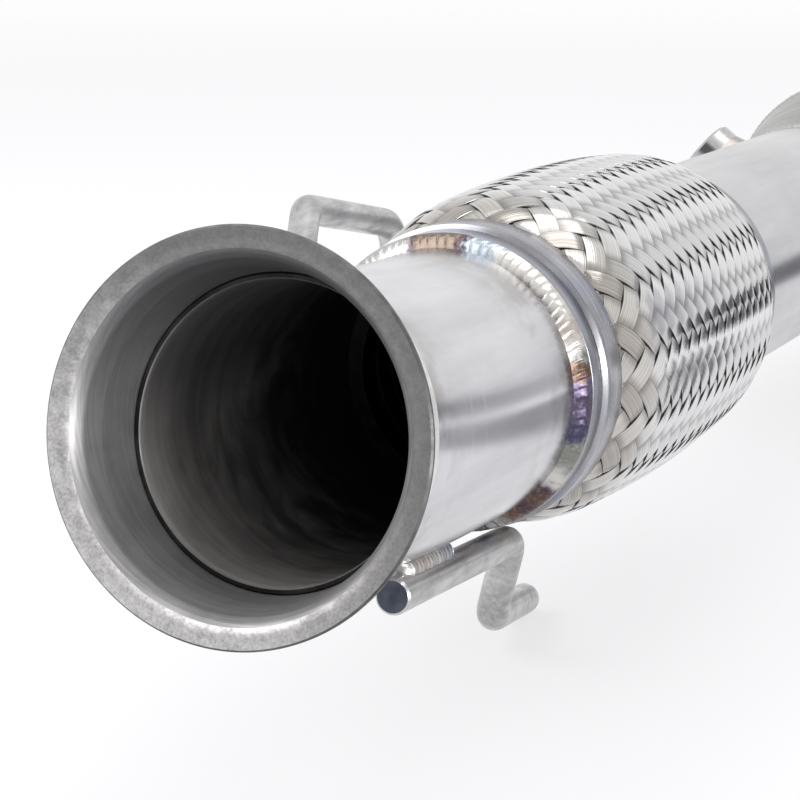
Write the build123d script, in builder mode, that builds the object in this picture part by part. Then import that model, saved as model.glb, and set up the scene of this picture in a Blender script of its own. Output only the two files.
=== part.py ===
"""Turbo downpipe: flared outlet, braided flex joint, lambda boss, catalyst can, elbow and turbo flange.

Millimetres, +Z up. The origin is the centre of the turbo flange's face, which lies on the floor.
The elbow rises from it and turns towards -Y, and the straight run goes on along -Y at axis_height
to the flared end. Stations along the run are Y values, worked out joint by joint from the elbow.
"""
import os
from math import cos, pi, radians, sin

from build123d import *

os.makedirs("parts", exist_ok=True)

# The tube and the run
pipe_od = 76.2
pipe_wall = 1.6
axis_height = 90.0
slip_fit = 0.1

# Turbo flange and elbow
flange_thickness = 12.0
flange_bolt_circle_diameter = 108.0
flange_bolts = 3
flange_bolt_hole = 11.0
flange_lobe_radius = 13.0
flange_hub_margin = 11.9
flange_socket_depth = 6.0
flange_edge = 1.0
elbow_tail = 8.0

# Catalyst can, its cones and what it holds
can_od = 101.6
can_length = 110.0
rear_cone_length = 45.0
front_cone_length = 75.0
mat_thickness = 3.0
brick_end_gap = 8.0
brick_channel = 8.0
brick_web = 2.5
brick_skin = 2.0

# Mid pipe and lambda boss
mid_pipe_length = 195.5
boss_od = 24.0
boss_bore = 16.5
boss_height = 9.0
boss_edge = 1.0
boss_angle = 141.0
boss_from_cone = 17.0
boss_weld_width = 2.2
boss_weld_rise = 2.5

# Flex joint
flex_length = 172.0
front_collar_length = 20.5
rear_collar_length = 6.5
collar_mouth_wall = 3.6
collar_shoulder_rise = 1.2
collar_step = 7.0
collar_step_run = 1.0
cuff_room = 1.0
cuff_wall = 2.0
cuff_length = 8.0
socket_depth = 12.0
braid_thickness = 1.4
braid_bulge = 8.0
braid_shoulder_drop = 1.7
braid_land = 3.0
braid_shoulder = 20.0
braid_strands = 24
braid_rows = 5
braid_gap_length = 6.0
braid_gap_width = 2.8
bellows_rise = 5.8
bellows_wall = 0.5
bellows_waves = 10
bellows_foot = 0.05
bellows_crest_start = 0.25
bellows_crest_end = 0.55
bellows_crest_foot = 0.75
bellows_end = 22.0
liner_inset = 4.5
liner_wall = 1.0
liner_ridge = 0.8
liner_pitch = 9.0
liner_lip = 1.5

# Outlet pipe and the flare ring that its end stands in
outlet_reach = 125.8
outlet_straight = 8.0
outlet_bend_angle = 9.4
outlet_bend_lean = 76.4
flare_run = 28.0
flare_length = 26.0
flare_mouth_depth = 23.4
flare_end_gap = 0.6
flare_wall = 1.8
flare_roll_radius = 2.0
rim_rise = 10.5
rim_face_width = 5.4
rim_face_depth = 0.5
rim_edge = 0.5
bell_waist_depth = 9.0
bell_waist_rise = 2.8

# Weld beads
bead_width = 5.0
bead_height = 1.1
front_weld_leg = 4.5
rear_weld_leg = 3.0
flange_weld_leg = 4.0
flare_weld_leg = 2.0

# Hanger rods: angles are about the run's axis, and stations run from the outlet weld
rod_diameter = 9.5
rod_bend_radius = 12.0
rod_end_round = 3.0
rod_gap = 2.6
rod_weld_length = 34.0
rod_weld_width = 8.0
rod_weld_start = 7.0
lower_rod_start = 65.0
lower_rod_angle = -72.0
lower_bend_station = 30.7
lower_bend_angle = -81.0
lower_corner = (-4.6, 46.5, 6.6)
lower_pin_end = (-11.5, 92.3)
lower_pin_drop = 0.44
upper_rod_start = 62.0
upper_rod_angle = 178.0
upper_bend_station = -4.0
upper_bend_angle = 180.0
upper_pin_front = (-82.6, 82.0, 34.2)
upper_pin_rear = (-86.6, 155.6, 20.0)
upper_hook = (-87.0, 158.0, -4.0)

# Radii and stations worked out from the sizes above
pipe_r = pipe_od / 2
pipe_bore_r = pipe_r - pipe_wall
can_r = can_od / 2
can_bore_r = can_r - pipe_wall
rod_r = rod_diameter / 2
socket_bore = pipe_r + slip_fit
collar_mouth_radius = socket_bore + collar_mouth_wall
collar_radius = collar_mouth_radius + collar_shoulder_rise
cuff_bore = socket_bore + cuff_room
cuff_radius = cuff_bore + cuff_wall
bellows_crest_radius = cuff_radius + bellows_rise
liner_r = pipe_bore_r - liner_inset
rim_radius = pipe_r + rim_rise
sleeve_radius = socket_bore + flare_wall
bell_waist_radius = socket_bore + bell_waist_rise
elbow_bend_radius = axis_height - flange_thickness - flange_weld_leg
elbow_end = -elbow_bend_radius - elbow_tail
can_rear = elbow_end - rear_cone_length
can_front = can_rear - can_length
cone_front = can_front - front_cone_length
flex_rear = cone_front - mid_pipe_length + socket_depth
flex_front = flex_rear - flex_length
braid_rear = flex_rear - rear_collar_length
braid_front = flex_front + front_collar_length
weld_front = flex_front - front_weld_leg
liner_rear = flex_rear - socket_depth
liner_front = flex_front + socket_depth

run_axis = Axis((0, 0, axis_height), (0, 1, 0))
run_plane = Plane(origin=(0, 0, axis_height), x_dir=(0, 1, 0), z_dir=(1, 0, 0))


def save(piece, name):
    """Label a finished piece and write it as one STEP file."""
    piece.part.label = name
    export_step(piece.part, f"parts/{name}.step")


def turned(points, plane=run_plane, axis=run_axis):
    """Solid of revolution from a closed outline of (station, radius) points."""
    with BuildPart() as piece:
        with BuildSketch(plane):
            with BuildLine():
                Polyline(*points, close=True)
            make_face()
        revolve(axis=axis)
    return piece


def band(start, end, inner, outer):
    """Outline of a plain ring between two stations."""
    return [(start, inner), (end, inner), (end, outer), (start, outer)]


def bead(station, radius, front_rise=0.0, rear_rise=0.0):
    """Butt weld: a low rounded band over a joint, whose foot follows the two slopes beside it."""
    half = bead_width / 2
    foot_front = (station - half, radius + front_rise * half)
    foot_rear = (station + half, radius + rear_rise * half)
    crown = (station, radius + bead_height + max(front_rise, rear_rise, 0) * half / 2)
    with BuildPart() as piece:
        with BuildSketch(run_plane):
            with BuildLine():
                ThreePointArc(foot_front, crown, foot_rear)
                Polyline(foot_rear, (station, radius), foot_front)
            make_face()
        revolve(axis=run_axis)
    return piece


# Turbo flange: three bolt lobes, and a socket that the elbow stands in
with BuildPart() as turbo_flange:
    with BuildSketch():
        with PolarLocations(flange_bolt_circle_diameter / 2, flange_bolts, start_angle=90):
            Circle(flange_lobe_radius)
        Circle(pipe_r + flange_hub_margin)
        make_hull()
        Circle(pipe_bore_r, mode=Mode.SUBTRACT)
        with PolarLocations(flange_bolt_circle_diameter / 2, flange_bolts, start_angle=90):
            Circle(flange_bolt_hole / 2, mode=Mode.SUBTRACT)
    extrude(amount=flange_thickness)
    with BuildSketch(Plane.XY.offset(flange_thickness)):
        Circle(pipe_r + slip_fit)
    extrude(amount=-flange_socket_depth, mode=Mode.SUBTRACT)
    chamfer(turbo_flange.faces().sort_by(Axis.Z)[-1].outer_wire().edges(), flange_edge)
save(turbo_flange, "turbo_flange")

# Elbow: up from the socket, a quarter turn, and a short tail along the run
elbow_foot = flange_thickness - flange_socket_depth
elbow_spring = axis_height - elbow_bend_radius
half_turn = elbow_bend_radius * cos(pi / 4)
with BuildPart() as elbow:
    with BuildLine() as elbow_path:
        Line((0, 0, elbow_foot), (0, 0, elbow_spring))
        ThreePointArc(
            (0, 0, elbow_spring),
            (0, half_turn - elbow_bend_radius, elbow_spring + half_turn),
            (0, -elbow_bend_radius, axis_height),
        )
        Line((0, -elbow_bend_radius, axis_height), (0, elbow_end, axis_height))
    with BuildSketch(Plane.XY.offset(elbow_foot)):
        Circle(pipe_r)
        Circle(pipe_bore_r, mode=Mode.SUBTRACT)
    sweep(path=elbow_path.wires()[0])
save(elbow, "elbow")

# Fillet weld between the flange and the elbow
upright_plane = Plane(origin=(0, 0, 0), x_dir=(0, 0, 1), z_dir=(0, 1, 0))
flange_weld = turned(
    [
        (flange_thickness, pipe_r + slip_fit),
        (flange_thickness, pipe_r + flange_weld_leg),
        (flange_thickness + flange_weld_leg, pipe_r + slip_fit),
    ],
    upright_plane,
    Axis.Z,
)
save(flange_weld, "flange_weld")


def cone(small_station, large_station):
    """Rolled sheet cone between the pipe's size and the can's."""
    return turned(
        [
            (small_station, pipe_bore_r),
            (small_station, pipe_r),
            (large_station, can_r),
            (large_station, can_bore_r),
        ]
    )


# Catalyst can with its two cones
rear_cone = cone(elbow_end, can_rear)
save(rear_cone, "rear_cone")
front_cone = cone(cone_front, can_front)
save(front_cone, "front_cone")
can_shell = turned(band(can_front, can_rear, can_bore_r, can_r))
save(can_shell, "can_shell")

# The can holds a honeycomb brick in a mat
brick_front = can_front + brick_end_gap
brick_rear = can_rear - brick_end_gap
brick_r = can_bore_r - mat_thickness
can_mat = turned(band(brick_front, brick_rear, brick_r, can_bore_r))
save(can_mat, "can_mat")

channel_pitch = brick_channel + brick_web
channel_reach = brick_r - brick_skin - brick_channel * cos(pi / 4)
channel_count = int(brick_r // channel_pitch)
channel_places = [
    (column * channel_pitch, row * channel_pitch)
    for column in range(-channel_count, channel_count + 1)
    for row in range(-channel_count, channel_count + 1)
    if (column * channel_pitch) ** 2 + (row * channel_pitch) ** 2 < channel_reach**2
]
with BuildPart() as catalyst_brick:
    with BuildSketch(Plane(origin=(0, brick_front, axis_height), z_dir=(0, 1, 0))):
        Circle(brick_r)
        with Locations(*channel_places):
            Rectangle(brick_channel, brick_channel, mode=Mode.SUBTRACT)
    extrude(amount=brick_rear - brick_front)
save(catalyst_brick, "catalyst_brick")

# Butt welds of the cones
rear_slope = (can_r - pipe_r) / rear_cone_length
front_slope = (can_r - pipe_r) / front_cone_length
save(bead(elbow_end, pipe_r, front_rise=rear_slope), "elbow_weld")
save(bead(can_rear, can_r, rear_rise=-rear_slope), "can_rear_weld")
save(bead(can_front, can_r, front_rise=-front_slope), "can_front_weld")
save(bead(cone_front, pipe_r, rear_rise=front_slope), "mid_pipe_weld")

# Mid pipe, drilled for the lambda boss that stands on it
boss_station = cone_front - boss_from_cone
boss_direction = (cos(radians(boss_angle)), 0, sin(radians(boss_angle)))
boss_plane = Plane(origin=(0, boss_station, axis_height), x_dir=(0, 1, 0), z_dir=boss_direction)
boss_axis = Axis((0, boss_station, axis_height), boss_direction)
mid_pipe_front = cone_front - mid_pipe_length
with BuildPart() as mid_pipe:
    with BuildSketch(Plane(origin=(0, mid_pipe_front, axis_height), z_dir=(0, 1, 0))):
        Circle(pipe_r)
        Circle(pipe_bore_r, mode=Mode.SUBTRACT)
    extrude(amount=mid_pipe_length)
    with BuildSketch(boss_plane):
        Circle(boss_bore / 2)
    extrude(amount=pipe_od, mode=Mode.SUBTRACT)
save(mid_pipe, "mid_pipe")

# Lambda boss and its weld, both cut to sit on the pipe
boss_r = boss_od / 2
with BuildPart() as lambda_boss:
    with BuildSketch(boss_plane):
        Circle(boss_r)
    extrude(amount=pipe_r + boss_height)
    chamfer(lambda_boss.edges().filter_by(GeomType.CIRCLE).sort_by(boss_axis)[-1], boss_edge)
    with BuildSketch(boss_plane):
        Circle(boss_bore / 2)
    extrude(amount=pipe_od, mode=Mode.SUBTRACT)
    with BuildSketch(Plane(origin=(0, mid_pipe_front, axis_height), z_dir=(0, 1, 0))):
        Circle(pipe_r)
    extrude(amount=mid_pipe_length, mode=Mode.SUBTRACT)
save(lambda_boss, "lambda_boss")

boss_profile_plane = Plane(
    origin=(0, boss_station, axis_height), x_dir=(0, 1, 0), z_dir=boss_plane.y_dir * -1
)
boss_weld_top = pipe_r + boss_weld_rise
boss_weld_bottom = pipe_r - boss_weld_rise * 2
with BuildPart() as boss_weld:
    with BuildSketch(boss_profile_plane):
        with BuildLine():
            Polyline(
                (boss_r, boss_weld_bottom),
                (boss_r, boss_weld_top),
                (boss_r + boss_weld_width, boss_weld_bottom),
                close=True,
            )
        make_face()
    revolve(axis=boss_axis)
    with BuildSketch(Plane(origin=(0, mid_pipe_front, axis_height), z_dir=(0, 1, 0))):
        Circle(pipe_r)
    extrude(amount=mid_pipe_length, mode=Mode.SUBTRACT)
save(boss_weld, "boss_weld")

# Flex joint collars: each is a mouth on the pipe, and a cuff that the braid ends on
front_cuff_end = braid_front + cuff_length
rear_cuff_end = braid_rear - cuff_length
flex_front_collar = turned(
    [
        (flex_front, socket_bore),
        (liner_front + liner_lip, socket_bore),
        (liner_front + liner_lip, cuff_bore),
        (front_cuff_end, cuff_bore),
        (front_cuff_end, cuff_radius),
        (braid_front, cuff_radius),
        (braid_front, collar_radius),
        (flex_front + collar_step + collar_step_run, collar_radius),
        (flex_front + collar_step, collar_mouth_radius),
        (flex_front, collar_mouth_radius),
    ]
)
save(flex_front_collar, "flex_front_collar")
flex_rear_collar = turned(
    [
        (flex_rear, socket_bore),
        (liner_rear - liner_lip, socket_bore),
        (liner_rear - liner_lip, cuff_bore),
        (rear_cuff_end, cuff_bore),
        (rear_cuff_end, cuff_radius),
        (braid_rear, cuff_radius),
        (braid_rear, collar_mouth_radius),
        (flex_rear, collar_mouth_radius),
    ]
)
save(flex_rear_collar, "flex_rear_collar")

# Fillet welds that close the collars on the pipes
flex_front_weld = turned(
    [(weld_front, pipe_r), (flex_front, collar_mouth_radius), (flex_front, pipe_r)]
)
save(flex_front_weld, "flex_front_weld")
flex_rear_weld = turned(
    [(flex_rear + rear_weld_leg, pipe_r), (flex_rear, collar_mouth_radius), (flex_rear, pipe_r)]
)
save(flex_rear_weld, "flex_rear_weld")

# Interlocked liner: a stepped tube with a lip behind each pipe end
liner_start = liner_front + liner_lip
liner_end = liner_rear - liner_lip
liner_steps = int((liner_end - liner_start) // liner_pitch)
step_length = (liner_end - liner_start) / liner_steps
outer_line = []
inner_line = []
for step in range(liner_steps):
    start = liner_start + step * step_length
    middle = start + step_length / 2
    end = start + step_length
    for edge, rise in ((start, 0), (middle, 0), (middle, liner_ridge), (end, liner_ridge)):
        outer_line.append((edge, liner_r + liner_wall + rise))
        inner_line.append((edge, liner_r + rise))
flex_liner = turned(
    [(liner_front, liner_r), (liner_front, pipe_r), (liner_start, pipe_r)]
    + outer_line
    + [(liner_end, pipe_r), (liner_rear, pipe_r), (liner_rear, liner_r)]
    + inner_line[::-1]
)
save(flex_liner, "flex_liner")

# Bellows: waves between two plain ends that lie inside the cuffs
bellows_root = cuff_bore - bellows_wall
waves_front = braid_front + bellows_end
waves_rear = braid_rear - bellows_end
wave_length = (waves_rear - waves_front) / bellows_waves
crest_line = []
root_line = []
for wave in range(bellows_waves):
    start = waves_front + wave * wave_length
    for part_way, radius in (
        (bellows_foot, cuff_bore),
        (bellows_crest_start, bellows_crest_radius),
        (bellows_crest_end, bellows_crest_radius),
        (bellows_crest_foot, cuff_bore),
    ):
        crest_line.append((start + part_way * wave_length, radius))
        root_line.append((start + part_way * wave_length, radius - bellows_wall))
flex_bellows = turned(
    [(liner_start, bellows_root), (liner_start, cuff_bore)]
    + crest_line
    + [(liner_end, cuff_bore), (liner_end, bellows_root)]
    + root_line[::-1]
)
save(flex_bellows, "flex_bellows")

# Braid sleeve: a barrel wall on the two cuffs, open at the diamonds between its crossing strands
braid_middle = (braid_front + braid_rear) / 2
braid_half = (braid_rear - braid_front) / 2
shoulder_reach = braid_half - braid_land - braid_shoulder
crown_radius = (shoulder_reach**2 + braid_shoulder_drop**2) / (2 * braid_shoulder_drop)


def barrel_line(inner_radius):
    """Half outline of the barrel, from its front land over the shoulders to its rear land."""
    crown = inner_radius + braid_bulge
    shoulder = crown - braid_shoulder_drop
    slope = shoulder_reach / crown_radius
    front_shoulder = (braid_middle - shoulder_reach, shoulder)
    rear_shoulder = (braid_middle + shoulder_reach, shoulder)
    front_land = (braid_front + braid_land, inner_radius)
    rear_land = (braid_rear - braid_land, inner_radius)
    Line((braid_front, inner_radius), front_land)
    TangentArc(front_shoulder, front_land, tangent=(-1, -slope))
    ThreePointArc(front_shoulder, (braid_middle, crown), rear_shoulder)
    TangentArc(rear_shoulder, rear_land, tangent=(1, -slope))
    Line(rear_land, (braid_rear, inner_radius))


gap_pitch = 2 * (braid_half - braid_land) / (braid_rows + 1)
gap_planes = []
for row in range(braid_rows):
    gap_station = braid_front + braid_land + (row + 1) * gap_pitch
    for strand in range(braid_strands):
        angle = radians(360 / braid_strands * (strand + 0.5 * (row % 2)))
        gap_planes.append(
            Plane(
                origin=(0, gap_station, axis_height),
                x_dir=(0, 1, 0),
                z_dir=(cos(angle), 0, sin(angle)),
            )
        )
with BuildPart() as flex_braid:
    with BuildSketch(run_plane):
        with BuildLine():
            barrel_line(cuff_radius + braid_thickness)
            Line((braid_rear, cuff_radius + braid_thickness), (braid_rear, cuff_radius))
            barrel_line(cuff_radius)
            Line((braid_front, cuff_radius), (braid_front, cuff_radius + braid_thickness))
        make_face()
    revolve(axis=run_axis)
    with BuildSketch(*gap_planes):
        Polygon(
            (-braid_gap_length / 2, 0),
            (0, -braid_gap_width / 2),
            (braid_gap_length / 2, 0),
            (0, braid_gap_width / 2),
        )
    extrude(amount=cuff_radius + braid_bulge * 2, mode=Mode.SUBTRACT)
save(flex_braid, "flex_braid")

# Outlet pipe: out of the front collar, a slight bend, and a short straight to the flare ring
lean = radians(outlet_bend_lean)
lean_plane = Plane(
    origin=(0, weld_front, axis_height), x_dir=(0, -1, 0), z_dir=(-sin(lean), 0, cos(lean))
)
outlet_bend_radius = (outlet_reach - outlet_straight - flare_run) / radians(outlet_bend_angle)
outlet_start = weld_front - liner_front
bend_way = (cos(radians(outlet_bend_angle)), sin(radians(outlet_bend_angle)))
bend_end = (
    outlet_straight + outlet_bend_radius * bend_way[1],
    outlet_bend_radius * (1 - bend_way[0]),
)
end_run = flare_run - flare_mouth_depth - flare_end_gap
pipe_end = (bend_end[0] + end_run * bend_way[0], bend_end[1] + end_run * bend_way[1])
outlet_start_plane = Plane(
    origin=(0, liner_front, axis_height), x_dir=(0, 0, 1), z_dir=(0, -1, 0)
)


def outlet_tube(bore):
    """The outlet's centre line swept as a tube, or as a solid bar where bore is 0."""
    with BuildPart() as piece:
        with BuildLine(lean_plane) as path:
            Line((outlet_start, 0), (outlet_straight, 0))
            JernArc((outlet_straight, 0), (1, 0), outlet_bend_radius, outlet_bend_angle)
            Line(bend_end, pipe_end)
        with BuildSketch(outlet_start_plane):
            Circle(pipe_r)
            if bore:
                Circle(bore, mode=Mode.SUBTRACT)
        sweep(path=path.wires()[0])
    return piece


outlet_pipe = outlet_tube(pipe_bore_r)
save(outlet_pipe, "outlet_pipe")

# Flare ring: a flat rim face that rolls into a bell, with a short sleeve over the pipe's end
flare_direction = lean_plane.x_dir * bend_way[0] + lean_plane.y_dir * bend_way[1]
rim_centre = lean_plane.from_local_coords(bend_end) + flare_direction * flare_run
flare_plane = Plane(origin=rim_centre, x_dir=flare_direction * -1, z_dir=lean_plane.z_dir)
flare_axis = Axis(rim_centre, flare_direction)
with BuildPart() as flare_ring:
    with BuildSketch(flare_plane):
        with BuildLine():
            bell = FilletPolyline(
                (0, rim_radius - rim_edge),
                (rim_face_depth, rim_radius - rim_face_width),
                (bell_waist_depth, bell_waist_radius),
                (flare_mouth_depth, socket_bore),
                (flare_length, socket_bore),
                radius=flare_roll_radius,
            )
            back = FilletPolyline(
                (flare_length, sleeve_radius),
                (flare_mouth_depth, sleeve_radius),
                (bell_waist_depth, bell_waist_radius + flare_wall),
                (rim_face_depth + flare_wall, rim_radius - rim_face_width + flare_wall),
                (flare_wall, rim_radius - rim_edge),
                radius=flare_roll_radius,
            )
            Line(bell @ 1, back @ 0)
            Polyline(
                back @ 1,
                (flare_wall - rim_edge, rim_radius),
                (rim_edge, rim_radius),
                bell @ 0,
            )
        make_face()
    revolve(axis=flare_axis)
save(flare_ring, "flare_ring")

# Fillet weld between the sleeve's rear end and the outlet pipe
with BuildPart() as flare_weld:
    with BuildSketch(flare_plane):
        with BuildLine():
            Polyline(
                (flare_length, pipe_r),
                (flare_length, sleeve_radius),
                (flare_length + flare_weld_leg, pipe_r),
                close=True,
            )
        make_face()
    revolve(axis=flare_axis)
save(flare_weld, "flare_weld")


def outlet_centre(distance):
    """Point on the bent centre line of the outlet pipe, at a distance before the outlet weld."""
    turn = (distance - outlet_straight) / outlet_bend_radius
    return lean_plane.from_local_coords(
        (outlet_straight + outlet_bend_radius * sin(turn), outlet_bend_radius * (1 - cos(turn)))
    )


def around(centre, radius, angle):
    """Point at a radius and angle about a centre, in the plane across the run."""
    return Vector(*centre) + Vector(radius * cos(radians(angle)), 0, radius * sin(radians(angle)))


def from_weld(x, station, height):
    """Point given from the outlet weld's centre."""
    return Vector(x, weld_front + station, axis_height + height)


def hanger(points):
    """Bent round rod with a square cut front end and a rounded free end."""
    with BuildPart() as piece:
        with BuildLine() as path:
            FilletPolyline(*points, radius=rod_bend_radius)
        with BuildSketch(Plane(origin=points[0], z_dir=points[1] - points[0])):
            Circle(rod_r)
        sweep(path=path.wires()[0])
        free_end = piece.faces().sort_by_distance(points[-1])[0]
        fillet(free_end.edges(), rod_end_round)
    return piece


def rod_weld(points, centre, rod):
    """Weld metal between a rod's first leg and the outlet pipe, shaped by both."""
    leg = (points[1] - points[0]).normalized()
    inward = (Vector(*centre) - points[0]).normalized()
    seat = Plane(origin=points[0] + leg * rod_weld_start, x_dir=inward, z_dir=leg)
    with BuildPart() as piece:
        with BuildSketch(seat):
            with Locations((rod_r + rod_gap, 0)):
                Rectangle(rod_r * 2, rod_weld_width)
        extrude(amount=rod_weld_length)
        add(outlet_bar.part, mode=Mode.SUBTRACT)
        add(rod.part, mode=Mode.SUBTRACT)
    return piece


outlet_bar = outlet_tube(0)
rod_seat = pipe_r + rod_gap + rod_r

# Lower hanger: welded under the outlet pipe, with its pin dropped to the floor
lower_centre = outlet_centre(lower_rod_start)
lower_points = [
    around(lower_centre, rod_seat, lower_rod_angle),
    around(from_weld(0, lower_bend_station, 0), collar_radius + rod_gap + rod_r, lower_bend_angle),
    Vector(lower_corner[0], weld_front + lower_corner[1], rod_r + lower_corner[2]),
    Vector(lower_pin_end[0], weld_front + lower_pin_end[1], rod_r - lower_pin_drop),
]
lower_hanger = hanger(lower_points)
save(lower_hanger, "lower_hanger")
save(rod_weld(lower_points, lower_centre, lower_hanger), "lower_hanger_weld")

# Upper hanger: welded on the far side, with its pin beside the flex joint and a hook at its end
upper_centre = outlet_centre(upper_rod_start)
upper_points = [
    around(upper_centre, rod_seat, upper_rod_angle),
    around(from_weld(0, upper_bend_station, 0), collar_mouth_radius + rod_r, upper_bend_angle),
    from_weld(*upper_pin_front),
    from_weld(*upper_pin_rear),
    from_weld(*upper_hook),
]
upper_hanger = hanger(upper_points)
save(upper_hanger, "upper_hanger")
save(rod_weld(upper_points, upper_centre, upper_hanger), "upper_hanger_weld")
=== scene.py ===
from math import atan2, ceil, cos, hypot, pi, radians, sin, sqrt, tan

import bpy
import numpy as np
from mathutils import Matrix, Vector


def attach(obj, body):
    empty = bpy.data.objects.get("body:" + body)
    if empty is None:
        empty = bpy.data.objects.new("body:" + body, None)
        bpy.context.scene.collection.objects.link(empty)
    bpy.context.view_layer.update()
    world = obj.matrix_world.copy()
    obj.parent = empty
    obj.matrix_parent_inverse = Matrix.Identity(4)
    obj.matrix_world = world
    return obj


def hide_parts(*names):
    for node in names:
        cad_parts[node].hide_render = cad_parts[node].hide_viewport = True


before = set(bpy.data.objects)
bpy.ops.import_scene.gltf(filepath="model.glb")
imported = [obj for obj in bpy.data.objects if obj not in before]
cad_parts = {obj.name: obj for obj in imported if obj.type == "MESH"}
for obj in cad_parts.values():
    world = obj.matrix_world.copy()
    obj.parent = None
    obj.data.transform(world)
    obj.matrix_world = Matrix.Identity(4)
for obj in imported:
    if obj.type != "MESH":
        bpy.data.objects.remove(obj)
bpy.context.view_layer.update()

# Sizes shared with the solids, in metres
AXIS_Z = 0.090
PIPE_R = 0.0381
PIPE_WALL = 0.0016
WELD_Y = -0.672
FLEX_FRONT = -0.6675
BRAID_FRONT = -0.647
BRAID_REAR = -0.502
COLLAR_R = 0.043
MOUTH_R = 0.0418
CUFF_R = 0.0412
CUFF_WALL = 0.002
CUFF_REACH = 0.008
SOCKET_DEPTH = 0.012
LINER_LIP = 0.0015
FIT = 0.0001
LEAN = radians(76.4)
BEND = radians(9.4)
REACH = 0.1258
STRAIGHT = 0.008
FLARE_RUN = 0.028
FLARE_LENGTH = 0.026
MOUTH_DEPTH = 0.0234
END_GAP = 0.0006
FLARE_WALL = 0.0018
ROLL = 0.005
RIM_R = 0.0486
FACE_WIDTH = 0.0054
FACE_DEPTH = 0.0005
RIM_EDGE = 0.0005
WAIST_DEPTH = 0.009
WAIST_R = 0.041
THROAT_DEPTH = WAIST_DEPTH * 1.2
THROAT_R = WAIST_R - 0.0014
FLARE_LEG = 0.002
ROD_R = 0.00475
ROD_GAP = 0.0026
ROD_BEND = 0.012
ROD_ROUND = 0.003
ROD_WELD_START = 0.007
ROD_WELD_LENGTH = 0.034
ROD_WELD_WIDTH = 0.008
CONE_FRONT = -0.312
CAN_FRONT = -0.237
CAN_REAR = -0.127
ELBOW_END = -0.082
CAN_R = 0.0508
FRONT_CONE = CAN_FRONT - CONE_FRONT
REAR_CONE = ELBOW_END - CAN_REAR
BEAD_WIDTH = 0.005

RUN_CENTRE = (0, 0, AXIS_Z)
RUN_WAY = (0, 1, 0)
rng = np.random.default_rng(7)


# Meshes
def new_piece(name, verts, faces, uvs, mats, face_mats=None, sharp=40, slot=None, stands_for=()):
    """Mesh object on the root body, smooth shaded, with a UV per corner."""
    mesh = bpy.data.meshes.new(name)
    mesh.from_pydata([tuple(v) for v in verts], [], faces)
    layer = mesh.uv_layers.new(name="UVMap")
    flat = np.array([uv for face in uvs for uv in face], dtype=np.float32).ravel()
    layer.data.foreach_set("uv", flat)
    for m in mats:
        mesh.materials.append(m)
    if face_mats is not None:
        mesh.polygons.foreach_set("material_index", face_mats)
    mesh.shade_smooth()
    mesh.set_sharp_from_angle(angle=radians(sharp))
    mesh.update()
    piece = bpy.data.objects.new(name, mesh)
    bpy.context.collection.objects.link(piece)
    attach(piece, "root")
    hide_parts(*stands_for)
    return piece


def across_axis(way):
    """Unit direction along an axis, with the level and the upright direction across it."""
    axis = Vector(way).normalized()
    side = axis.cross(Vector((0, 0, 1))).normalized()
    return axis, side, side.cross(axis).normalized()


def lathe(name, profile, origin, direction, mats, mat_of=None, segments=256, **extra):
    """Turned solid from a closed outline of (distance along, radius) points."""
    axis, side, up = across_axis(direction)
    n = len(profile)
    lengths = [0.0]
    for k in range(n):
        a, b = profile[k], profile[(k + 1) % n]
        lengths.append(lengths[-1] + hypot(b[0] - a[0], b[1] - a[1]))
    verts = []
    for i in range(segments):
        angle = 2 * pi * i / segments
        out = side * cos(angle) + up * sin(angle)
        for t, r in profile:
            verts.append(Vector(origin) + axis * t + out * r)
    faces, uvs, face_mats = [], [], []
    for i in range(segments):
        for k in range(n):
            a, b = i * n + k, i * n + (k + 1) % n
            d, c = (i + 1) % segments * n + k, (i + 1) % segments * n + (k + 1) % n
            faces.append((a, d, c, b))
            u0, u1 = i / segments, (i + 1) / segments
            v0, v1 = lengths[k] * 10, lengths[k + 1] * 10
            uvs.append(((u0, v0), (u1, v0), (u1, v1), (u0, v1)))
            face_mats.append(mat_of(k) if mat_of else 0)
    return new_piece(name, verts, faces, uvs, mats, face_mats, **extra)


def eased(points, radius, steps):
    """Open outline whose inner corners are rounded."""
    out = [points[0]]
    for before, corner, after in zip(points, points[1:], points[2:]):
        a = Vector((before[0] - corner[0], before[1] - corner[1]))
        b = Vector((after[0] - corner[0], after[1] - corner[1]))
        half = a.angle(b) / 2
        cut = radius / tan(half)
        towards = (a.normalized() + b.normalized()).normalized()
        middle = Vector(corner) + towards * (radius / sin(half))
        start = Vector(corner) + a.normalized() * cut - middle
        turn = (pi - 2 * half) * (1 if a.x * b.y - a.y * b.x < 0 else -1)
        for k in range(steps + 1):
            spoke = Matrix.Rotation(turn * k / steps, 2) @ start
            out.append(tuple(middle + spoke))
    out.append(points[-1])
    return out


def rounded_route(points, radius, bend_step=0.0015, straight_step=0.004):
    """Route with its corners rounded, as closely spaced points."""
    pts = [Vector(p) for p in points]
    corners = [pts[0]]
    for k in range(1, len(pts) - 1):
        before = (pts[k - 1] - pts[k]).normalized()
        after = (pts[k + 1] - pts[k]).normalized()
        half = before.angle(after) / 2
        reach = radius / tan(half)
        centre = pts[k] + (before + after).normalized() * (radius / sin(half))
        a = (pts[k] + before * reach - centre).normalized()
        b = (pts[k] + after * reach - centre).normalized()
        count = max(6, int((pi - 2 * half) * radius / bend_step))
        corners += [centre + a.slerp(b, i / count) * radius for i in range(count + 1)]
    corners.append(pts[-1])
    route = [corners[0]]
    for p in corners[1:]:
        start, gap = route[-1], (p - route[-1]).length
        if gap > 1e-7:
            pieces = ceil(gap / straight_step)
            route += [start.lerp(p, i / pieces) for i in range(1, pieces + 1)]
    return route


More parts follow.
